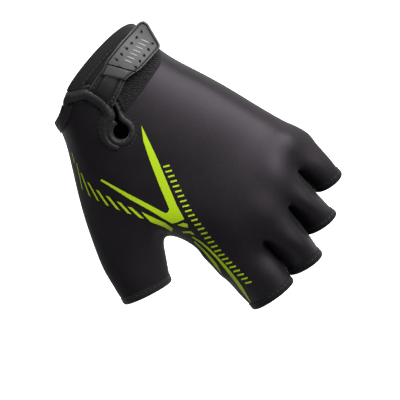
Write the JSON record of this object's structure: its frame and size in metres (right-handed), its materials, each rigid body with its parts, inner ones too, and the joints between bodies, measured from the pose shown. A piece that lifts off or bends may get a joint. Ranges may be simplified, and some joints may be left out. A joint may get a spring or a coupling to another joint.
{
  "type": "short-finger cycling glove",
  "caption": "Short-finger cycling glove for the left hand, in its worn shape, with bound openings, a bound slit with a round end on the back, and a wrist strap with a moulded pull.",
  "frame": {"origin": "middle of the wrist opening, where the hand goes in", "axes": "+X along the fingers, +Y towards the little finger, +Z out of the back"},
  "size_m": [0.1602, 0.1324, 0.0538],
  "materials": {
    "stretch_fabric": "smooth stretch knit with a soft sheen and lime printed stripes",
    "palm_suede": "matt synthetic suede",
    "binding": "ribbed binding tape",
    "pile": "short looped pile",
    "strap": "smooth synthetic leather with stitched borders",
    "pull": "matt moulded rubber"
  },
  "bodies": {
    "root": {"back_panel": "stretch_fabric", "palm_panel": "palm_suede", "cuff_band": "binding", "hem_thumb": "binding", "hem_index": "binding", "hem_middle": "binding", "hem_ring": "binding", "hem_little": "binding", "flap_binding": "binding", "eyelet_binding": "binding", "pile_patch": "pile", "strap": "strap", "pull_tab": "pull"}
  },
  "joints": []
}
